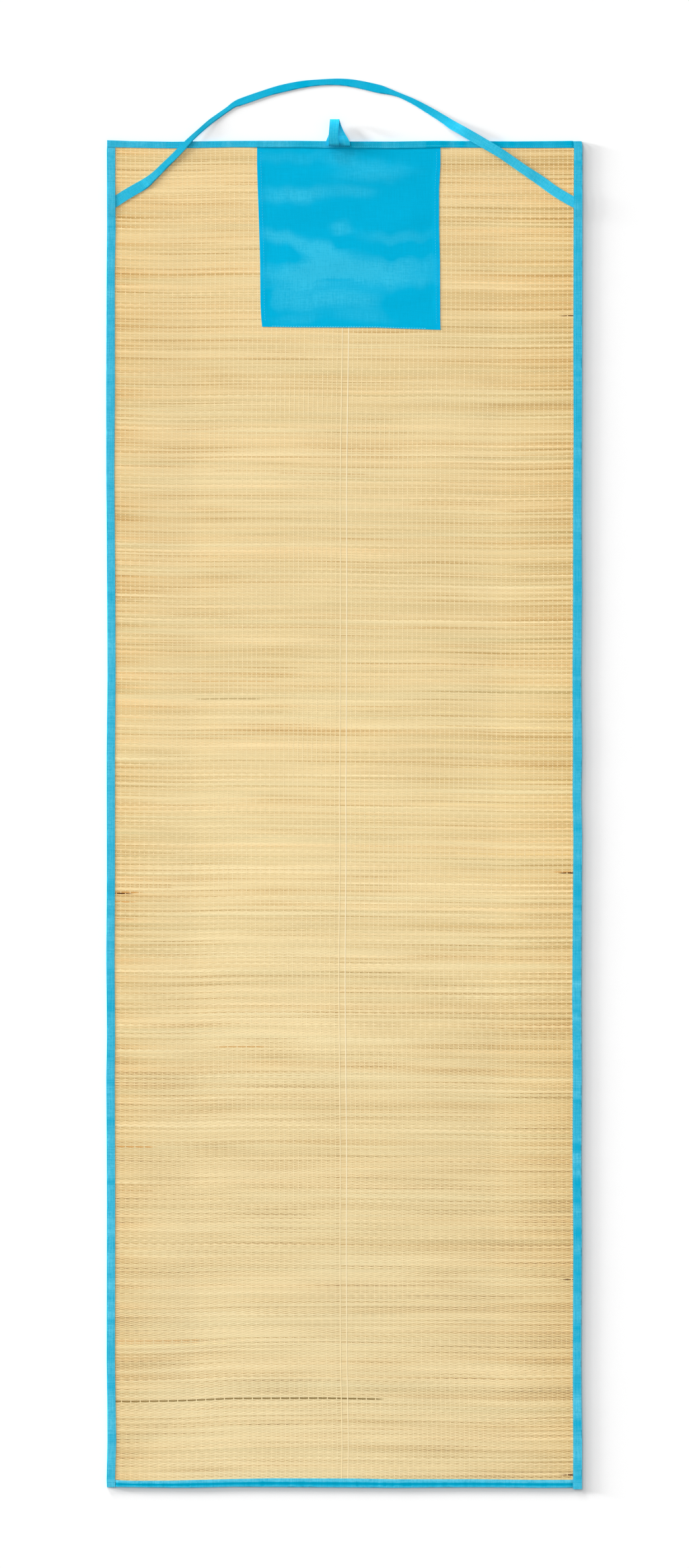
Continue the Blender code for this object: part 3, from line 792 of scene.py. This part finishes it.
def build_straw(rush, cotton):
    """Every weft shares its two sides with its neighbours, and sways where it passes a warp."""
    warps = warp_places()
    reach = MAT_WIDTH / 2 - PANEL_INSET
    stations = np.concatenate([[-reach], warps, [reach]])
    half_length = MAT_LENGTH / 2 - PANEL_INSET
    count = round(2 * half_length / WEFT_PITCH)
    widths = np.exp(WEFT_UNEVEN * rng.normal(size=count))
    lines = half_length - 2 * half_length * np.concatenate([[0.0], np.cumsum(widths)]) / widths.sum()
    lines = lines[:, None]
    x = stations[None, :] + warp_shift(stations[None, :], lines)
    x[:, 0], x[:, -1] = -reach, reach
    over = (-1.0) ** (np.arange(count + 1)[:, None] + np.arange(stations.size)[None, :])
    sway = table_value(WEFT_SWAY, lines) * over
    sway[[0, -1]] = 0.0
    for kind, marks in MARKS.items():
        for first, _, place, _ in marks:
            start = lines[:, 0] + weft_rise(first, lines[:, 0])
            row = abs((start[:-1] + start[1:]) / 2 - place).argmin()
            sway[row:row + 2] *= MARK_SWAY[kind]
    sides = lines + weft_rise(x, lines) + sway
    over = over[:-1]
    chain = np.isin(stations, CHAIN_LINES)
    level = WEFT_LEVEL + over * WEFT_SWING
    level[:, chain] = WEFT_LEVEL - WEFT_SWING
    y = (sides[:-1] + sides[1:]) / 2
    colours = straw_colours(x[:-1], y, np.where(chain[None, :], 0.0, over))
    rings = []
    for row, height in ((sides[:-1], 0.0), (y, WEFT_ROUND), (sides[1:], 0.0)):
        real_x, real_y = on_mat(x[:-1], row)
        base = rim_height(x[:-1], y) + straw_wave(x[:-1], y)
        rings.append(np.stack([real_x, real_y, base + level + height], axis=-1))
    points = np.stack(rings, axis=2)
    lay = np.zeros_like(points)
    lay[..., 0] = x[:-1, :, None] * MM
    lay[..., 1] = np.arange(count)[:, None, None] + np.array([0.0, 0.5, 1.0])
    parts = np.array_split(np.arange(count), WEFT_PIECES)
    wefts = []
    for number, part in enumerate(parts, 1):
        faces = strand_faces(len(part), stations.size, 3)
        wefts.append(mesh_piece(
            f"rush_wefts_{number}", points[part], faces, "straw", rush,
            straw_colour=linear(colours[part]).reshape(-1, 3), straw_lay=lay[part].reshape(-1, 3),
        ))
    threads = build_warps(warps, chain[1:-1], cotton)
    for weft, part in zip(wefts, parts):
        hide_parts("mat_panel")
    return wefts


def build_warps(warps, chain, cotton):
    """Cotton threads between the over and the under straws, the chain pair above them all."""
    reach = MAT_LENGTH / 2 - PANEL_INSET
    rim = np.linspace(MAT_LENGTH / 2 - RIM_FLAT, MAT_LENGTH / 2 - RIM_RAMP, WARP_RIM_CUTS)
    middle = np.linspace(-rim[-1], rim[-1], int(2 * rim[-1] / WARP_STEP) + 1)[1:-1]
    stations = np.concatenate([[-reach], -rim, middle, rim[::-1], [reach]])
    y = np.broadcast_to(stations, (warps.size, stations.size))
    x = warps[:, None] + warp_shift(warps[:, None], y)
    low = WEFT_LEVEL + np.where(chain, CHAIN_ABOVE[0], WARP_LOW)[:, None]
    sunk = table_value(WARP_HIGH, abs(warps))[:, None] - WARP_SINK * ramp(-y, *WARP_SINK_Y)
    high = WEFT_LEVEL + np.where(chain[:, None], CHAIN_ABOVE[1], sunk)
    rings = []
    for side, height in ((1, low), (0, high), (-1, low)):
        width = np.where(chain, CHAIN_WIDTH, WARP_WIDTH)[:, None]
        real_x, real_y = on_mat(x + side * width / 2, y)
        rings.append(np.stack([real_x, real_y, rim_height(x, y) + straw_wave(x, y) + height], axis=-1))
    points = np.stack(rings, axis=2)
    ridge = np.broadcast_to(np.array([0.0, 1.0, 0.0]), points.shape[:-1])
    white = np.zeros(warps.size)
    white[chain] = CHAIN_WHITE
    white = (white[:, None] * (1 - CHAIN_FADE * ramp(-y, *CHAIN_FADE_Y)))[..., None] * ridge
    faces = strand_faces(warps.size, stations.size, 3)
    return [mesh_piece("warp_threads", points, faces, "straw", cotton,
                       middle=ridge.ravel(), white=white.ravel())]


# The edge tapes

def tape_fold(width, top):
    """The folded tape's middle face: depth in from the mat's edge and height, lower lip first."""
    radius = (top - TAPE_WALL) / 2
    turn = np.linspace(-np.pi / 2, -3 * np.pi / 2, TAPE_FOLD_CUTS)
    depth = TAPE_WALL / 2 + TAPE_BULGE * (1 + np.cos(turn))
    height = TAPE_WALL / 2 + radius + radius * np.sin(turn)
    lip = [width * share for share, _ in TAPE_LIP]
    drop = [top - TAPE_WALL / 2 - fall for _, fall in TAPE_LIP]
    return np.concatenate([[width, width * 0.5], depth, lip]), \
        np.concatenate([[TAPE_WALL / 2] * 2, height, drop])


def build_tape(name, edge, ends, inward, cloth, thread, paleness, lifts=(), groove=0.0, under=(),
               rim=0.0):
    """A tape folded over one edge. paleness is how pale its two ends are, rim the colour painted on its
    fold, groove its depth.

    lifts gives where it is raised and how high. under gives the ends, -1 or 1, that run under the
    tape across them, how far, and how they are pressed.
    """
    along_y = inward[1] == 0
    places = np.linspace(ends[0], ends[1], int((ends[1] - ends[0]) / TAPE_STEP) + 1)
    folds = len(tape_fold(10.0, TAPE_TOP)[0])
    first_lip = folds - len(TAPE_LIP)
    ripple = soft_lines(1, places, TAPE_RIPPLE[0])[0]
    bands = sum(strength * soft_lines(1, places, length)[0] for length, strength in PUCKER_SHADING_KINDS)
    scallop = soft_lines(1, places, SCALLOP[0])[0]
    outer, width = table_value(edge, places), table_value(edge, places, 2)
    lift = np.zeros_like(places)
    for (low, high), height in lifts:
        outside = np.clip(np.maximum(low - places, places - high), 0.0, None)
        lift = np.maximum(lift, height * np.clip(1 - outside / LIFT_RAMP, 0.0, 1.0))
    sections = [tape_fold(wide, TAPE_TOP + rise) for wide, rise in zip(width, lift)]
    depth = np.array([section[0] for section in sections])
    height = np.array([section[1] for section in sections])
    height[:, first_lip - 1:] += TAPE_RIPPLE[1] * ripple[:, None] - TAPE_RIPPLE[2]
    hollow = slice(first_lip + 1, first_lip + 6)
    height[:, hollow] -= groove * np.array(GROOVE_DEPTH)
    for end, length, pressed in under:
        reach, squeeze, rise, inset = pressed
        edge_place = ends[0] if end < 0 else ends[1]
        share = ramp(length + reach - abs(places - edge_place), 0.0, reach)[:, None]
        height = height * (1 - share * (1 - squeeze)) + rise * share
        depth = depth + inset * share
    if along_y:
        # Painted light and shade of the puckers, stronger towards the foot
        bands = bands * (1 + ramp(-places, *RIPPLED_PLACES))
    share = np.linspace(paleness[0], paleness[1], places.size) + TAPE_PUCKER_SHADING * bands
    shade = np.repeat(share[:, None], folds, axis=1)
    # Painted shade on folds that face the low lamps, painted light on folds that face away, by the set
    # colour rim
    shade[:, :first_lip] = rim
    # Painted shade in the sewn groove and along the lip beside it
    if groove:
        shade[:, first_lip:first_lip + 2] *= GROOVE_EDGE
        shade[:, hollow] += np.array(GROOVE_SHADE) + SCALLOP[1] * scallop[:, None]

    def at(column, row):
        place, index = (row, column) if along_y else (column, row)
        return np.searchsorted(places, place - 1e-6), index.astype(int)

    def spot(place, index):
        side = outer[place] + (inward[0] + inward[1]) * depth[place, index]
        if along_y:
            return side, places[place], height[place, index]
        return places[place], side, height[place, index]

    def shape(column, row):
        return spot(*at(column, row))

    def tint(column, row):
        return np.clip(shade[at(column, row)], -1.0, 1.1)

    profile = np.arange(folds, dtype=float)
    columns, rows = (profile, places) if along_y else (places, profile)
    piece = cloth_piece(name, columns, rows, shape, TAPE_WALL, "binding_tape", cloth, tint=tint)
    point_outwards(piece)
    seam = np.column_stack(spot(np.arange(places.size), first_lip + TAPE_STITCH_ROW))
    seam[:, 2] += TAPE_WALL / 2
    stitches = build_stitches(name + "_stitches", (seam[1:] + seam[:-1]) / 2,
                              90.0 if along_y else 0.0, "binding_tape", thread)
    mean = float(np.mean([row[2] for row in edge]))
    fold, rise = tape_fold(mean, TAPE_TOP)
    return piece


def build_stitches(name, middles, turn, slot, thread):
    """A row of sewing stitches, each a slim pointed bead, joined in one mesh."""
    long, wide, high = STITCH_SIZE
    angle = math.radians(turn)
    way = np.array([math.cos(angle), math.sin(angle)])
    aside = np.array([-math.sin(angle), math.cos(angle)])
    bead = np.zeros((6, 3))
    bead[0, :2], bead[1, :2] = way * long / 2, -way * long / 2
    bead[2, :2], bead[3, :2] = aside * wide / 2, -aside * wide / 2
    bead[4, 2], bead[5, 2] = high / 2, -high / 2
    points = middles[:, None, :] + bead[None, :, :]
    sides = np.array([(0, 2, 4), (2, 1, 4), (1, 3, 4), (3, 0, 4),
                      (2, 0, 5), (1, 2, 5), (3, 1, 5), (0, 3, 5)])
    faces = (np.arange(len(middles))[:, None, None] * 6 + sides).reshape(-1, 3)
    return mesh_piece(name, points, faces.tolist(), slot, thread)


def point_outwards(piece):
    """Turn a closed piece's faces outwards."""
    bpy.ops.object.select_all(action="DESELECT")
    piece.select_set(True)
    bpy.context.view_layer.objects.active = piece
    bpy.ops.object.mode_set(mode="EDIT")
    bpy.ops.mesh.select_all(action="SELECT")
    bpy.ops.mesh.normals_make_consistent(inside=False)
    bpy.ops.object.mode_set(mode="OBJECT")


def build_tapes(cloth, thread):
    tuck = (PATCH_SIDES[-1][1] - GAP, PATCH_SIDES[-1][2] + GAP)
    corner = (HEAD_ENDS[0], HEAD_ENDS[0] + LEFT_EDGE[-1][2])
    # Node, piece, edge, its ends, way inwards, how pale its two ends are, what else it has
    # A tape's rim is the colour painted on its fold: painted shade where it faces the lamps, painted
    # light where it faces away
    tapes = (
        ("binding_left", "edge_tape_left", LEFT_EDGE, LEFT_ENDS, (1, 0), (0.52, 0.5),
         {"lifts": ((STRAP_TUCK_LEFT, STRAP_LIFT),), "under": ((1, 7.6, TAPE_UNDER),)}),
        ("binding_right", "edge_tape_right", RIGHT_EDGE, RIGHT_ENDS, (-1, 0), (0.36, 0.32),
         {"lifts": ((STRAP_TUCK_RIGHT, STRAP_LIFT),), "rim": 1.0}),
        ("binding_head", "edge_tape_head", HEAD_EDGE, HEAD_ENDS, (0, -1), (0.34, 0.0),
         {"lifts": ((tuck, PATCH_LIFT), (corner, CORNER_LIFT)), "under": ((1, 3.4, TAPE_TUCK),)}),
        ("binding_foot", "edge_tape_foot", FOOT_EDGE, FOOT_ENDS, (0, 1), (0.8, 0.85),
         {"under": ((-1, 2.8, TAPE_TUCK), (1, 3.2, TAPE_TUCK)), "groove": 0.06, "rim": 0.4}),
    )
    for node, name, edge, ends, inward, paleness, more in tapes:
        piece = build_tape(name, edge, ends, inward, cloth, thread, paleness, **more)
        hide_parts(node)


# The pocket cloth

def turned(x, y, middle_x, middle_y, turn):
    """Points as seen from a middle, along a direction turned by some degrees and aside from it."""
    angle = math.radians(turn)
    x, y = x - middle_x, y - middle_y
    return x * math.cos(angle) + y * math.sin(angle), y * math.cos(angle) - x * math.sin(angle)


def patch_fold(x, y, edge):
    """Lift of the pocket cloth off the straw, fading out towards its sewn edges."""
    lift = 0.0
    for middle_x, middle_y, half_length, half_width, turn, height in PATCH_FOLDS:
        along, aside = turned(x, y, middle_x, middle_y, turn)
        lift = lift + height * np.exp(-(along / half_length) ** 2 - (aside / half_width) ** 2)
    return lift * np.clip(edge / FOLD_MARGIN, 0.0, 1.0)


def fold_shading(x, y):
    """How pale the pocket cloth is, from the painted light and shade of its soft folds."""
    places = np.arange(*FOLD_SHADING_PLACES)
    sway = np.array(FOLD_SHADING_SWAY)[:, None] * soft_lines(len(FOLD_SHADING_SWAY), places, FOLD_SHADING_SWAY_LENGTH)
    x, y = (
        x + np.interp(y, places, sway[0]) + np.interp(x, places, sway[1]),
        y + np.interp(x, places, sway[2]) + np.interp(y, places, sway[3]),
    )
    total = 0.0
    for middle_x, middle_y, half_length, half_width, turn, strength in CLOTH_FOLD_SHADING:
        along, aside = turned(x, y, middle_x, middle_y, turn)
        total = total + strength * np.exp(-abs(along / half_length) ** 3 - abs(aside / half_width) ** 3)
    return np.clip(total, 0.0, 1.0)


def build_pocket_cloth(material, thread, pale_thread):
    left, right = PATCH_SIDES[-1][1], PATCH_SIDES[-1][2]
    foot = PATCH_FOOT[0][1]
    width, height = right - left, PATCH_HEAD - foot
    hem = HEM_WIDTH + HEM_EDGE

    def place(column, row):
        across, along = column / width, row / height
        y = foot + row
        x = (1 - across) * table_value(PATCH_SIDES, y) + across * table_value(PATCH_SIDES, y, 2)
        return x, (1 - along) * table_value(PATCH_FOOT, x) + along * PATCH_HEAD

    def hem_share(column, row):
        side = np.minimum(np.minimum(column, width - column), row)
        return np.clip((hem - side) / HEM_EDGE, 0.0, 1.0)

    def shape(column, row):
        x, y = place(column, row)
        inside = np.minimum(np.minimum(column, width - column), np.minimum(row, height - row))
        lift = CLOTH_EASE * patch_fold(x, y, np.clip(inside - hem, 0.0, None))
        raised = CLOTH_HEM_RAISE * hem_share(column, row) * ramp(height - row, *HEM_FADE)
        base = rim_height(x, np.minimum(y, MAT_LENGTH / 2)) + STRAW_THICK
        return x, y, base + CLOTH_WALL / 2 + lift + raised

    # The tint is painted light and shade of the cloth's soft folds
    def tint(column, row):
        return fold_shading(*place(column, row))

    def hem_colour(column, row):
        side = np.minimum(column, width - column)
        return HEM_BLUE[0] * ramp(hem - side, 0.0, HEM_BLUE[1])

    edges = [0.0, HEM_WIDTH / 2, HEM_WIDTH]
    inner = np.linspace(hem, width - hem, int(width / PATCH_STEP))
    columns = np.concatenate([edges, inner, [width - place for place in edges[::-1]]])
    rows = np.concatenate([edges, np.linspace(hem, height, int(height / PATCH_STEP))])
    piece = cloth_piece("pocket_cloth", columns, rows, shape, CLOTH_WALL, "pocket_cloth",
                        material, tint=tint, hem=hem_colour)
    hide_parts("pocket_patch")

    def sewn(title, column, row, turn, colour):
        middles = np.column_stack(shape(*np.broadcast_arrays(column, row)))
        middles[:, 2] += CLOTH_WALL / 2
        return build_stitches(title, middles, turn, "pocket_cloth", colour)

    across = np.arange(POCKET_FOOT_SEAM[0], width - POCKET_FOOT_SEAM[1], STITCH_PITCH)
    along = np.arange(hem, height - HEM_FADE[0], STITCH_PITCH)
    seams = [
        sewn("pocket_foot_stitches", across, POCKET_FOOT_SEAM[2], 0.0, pale_thread),
        sewn("pocket_left_stitches", POCKET_SIDE_SEAM, along, 90.0, thread),
        sewn("pocket_right_stitches", width - POCKET_SIDE_SEAM, along, 90.0, thread),
    ]
    return piece


# The strap and the loop

def ribbon(name, middles, sides, seen, width, material, tint):
    """A flat tape along a line of middles: what is not seen of its width is folded under."""
    run = np.gradient(middles, axis=0)
    faces = np.cross(run, sides)
    faces /= np.linalg.norm(faces, axis=1)[:, None]
    pace = pace_along(middles)
    turn = math.pi * STRAP_FOLD
    cloth = np.minimum(width, 2 * seen + turn - 2 * STRAP_FOLD)

    def shape(column, row):
        at = np.searchsorted(pace, row - 1e-6)
        place = (column / width + 0.5) * cloth[at]
        flat = seen[at] - np.where(cloth[at] > seen[at] + LEAST_FOLDED, STRAP_FOLD, 0.0)
        bend = np.clip(place - flat, 0.0, turn) / STRAP_FOLD
        back = np.clip(place - flat - turn, 0.0, None)
        aside = seen[at] / 2 - np.minimum(place, flat) - STRAP_FOLD * np.sin(bend) + back
        drop = STRAP_FOLD * (1 - np.cos(bend))
        point = middles[at] + sides[at] * aside[:, None] - faces[at] * drop[:, None]
        return point[:, 0], point[:, 1], point[:, 2]

    columns = np.linspace(-width / 2, width / 2, STRAP_CUTS)
    piece = cloth_piece(name, columns, pace, shape, STRAP_WALL, "strap_tape", material, tint=tint)
    point_outwards(piece)
    return piece, pace[-1]


def build_carrying_strap(material):
    """The strap lies flat, folded under lengthwise where it looks narrow."""
    route = smooth_rows(STRAP_ROUTE, STRAP_STEP)
    run = np.gradient(route[:, :2], axis=0)
    run /= np.linalg.norm(run, axis=1)[:, None]
    sides = np.column_stack([-run[:, 1], run[:, 0], np.zeros(len(run))])
    seen = np.minimum(route[:, 2], STRAP_WIDTH)
    folded = ramp(STRAP_WIDTH - seen, *FOLDED_WIDTHS)
    height = route[:, 3] + STRAP_WALL / 2 + 2 * STRAP_FOLD * folded
    middles = np.column_stack([route[:, :2], height])
    pace, order = pace_along(middles), np.arange(len(route), dtype=float)
    streak = soft_lines(1, order, STRAP_STREAK[0])[0]

    def tint(column, row):
        place = np.interp(row, pace, order)
        # Painted light: paler towards the strap's ends
        painted_light = table_value(STRAP_PAINTED_LIGHT, np.interp(place, order, route[:, 0]))
        return np.clip(painted_light + STRAP_STREAK[1] * np.interp(place, order, streak), 0.0, 1.1)

    piece, length = ribbon("carry_strap", middles, sides, seen, STRAP_WIDTH, material, tint)
    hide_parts("carrying_strap")
    return piece


def build_hanging_loop(material):
    route = smooth_rows(LOOP_ROUTE, LOOP_STEP)
    middles = np.column_stack([(route[:, 2] + route[:, 3]) / 2, route[:, 0], route[:, 1]])
    half = (route[:, 3] - route[:, 2]) / 2
    width = 2 * half.mean()
    sides = np.column_stack([half / half.mean(), np.zeros_like(half), np.zeros_like(half)])

    def tint(column, row):
        mean, strength, fine, coarse, shift = LOOP_STRIPES
        return mean + strength * np.cos(column * fine) * np.cos(column * coarse + shift)

    piece, length = ribbon("hook_loop", middles, sides, np.full(len(route), width), width,
                           material, tint)
    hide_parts("hanging_loop")
    return piece


# Floor, light and camera

def build_floor():
    bpy.ops.object.select_all(action="DESELECT")
    bpy.ops.mesh.primitive_plane_add(size=FLOOR_SIZE, location=(0, 0, 0))
    floor = bpy.context.active_object
    floor.name = "floor"
    floor.data.materials.append(floor_finish())


def add_sun(name, toward, elevation, spread, share):
    """A far lamp, its angles in degrees."""
    angle, rise = math.radians(toward), math.radians(elevation)
    way = Vector((-math.cos(angle) * math.cos(rise), math.sin(angle) * math.cos(rise),
                  math.sin(rise)))
    data = bpy.data.lights.new(name, "SUN")
    data.angle = math.radians(spread)
    data.energy = share * math.pi / math.sin(rise)
    lamp = bpy.data.objects.new(name, data)
    lamp.rotation_mode = "QUATERNION"
    lamp.rotation_quaternion = way.to_track_quat("Z", "Y")
    bpy.context.collection.objects.link(lamp)


def light_studio():
    world = bpy.data.worlds.new("studio")
    world.use_nodes = True
    tree = world.node_tree
    dome = tree.nodes["Background"]
    dome.inputs["Color"].default_value = (1.0, 1.0, 1.0, 1.0)
    dome.inputs["Strength"].default_value = DOME_STRENGTH
    seen = tree.nodes.new("ShaderNodeBackground")
    seen.inputs["Color"].default_value = (1.0, 1.0, 1.0, 1.0)
    path = tree.nodes.new("ShaderNodeLightPath")
    mix = tree.nodes.new("ShaderNodeMixShader")
    tree.links.new(path.outputs["Is Camera Ray"], mix.inputs[0])
    tree.links.new(dome.outputs[0], mix.inputs[1])
    tree.links.new(seen.outputs[0], mix.inputs[2])
    tree.links.new(mix.outputs[0], tree.nodes["World Output"].inputs["Surface"])
    bpy.context.scene.world = world
    for lamp in LAMPS:
        add_sun(*lamp)


def set_camera():
    data = bpy.data.cameras.new("camera")
    data.sensor_width = SENSOR
    data.lens = SENSOR * CAMERA_HEIGHT / (PICTURE_HEIGHT * PIXEL)
    data.clip_end = 100.0
    camera = bpy.data.objects.new("camera", data)
    camera.location = (0.0, PICTURE_MIDDLE_Y * MM, CAMERA_HEIGHT * MM)
    bpy.context.collection.objects.link(camera)
    scene = bpy.context.scene
    scene.camera = camera
    scene.view_settings.view_transform = "Standard"


set_camera()
light_studio()
build_floor()
build_straw(rush_finish(), thread_finish())
thread = stitch_finish("blue_thread", STITCH)
pale_thread = stitch_finish("pale_thread", STITCH_PALE)
build_tapes(cloth_finish("tape_cloth", TAPE_DEEP, TAPE_PALE, 0.8), thread)
build_pocket_cloth(cloth_finish("pocket_weave", CLOTH_DEEP, CLOTH_PALE, 0.7), thread, pale_thread)
strap_weave = cloth_finish("strap_weave", STRAP_DEEP, STRAP_PALE, 0.8)
build_carrying_strap(strap_weave)
build_hanging_loop(strap_weave)
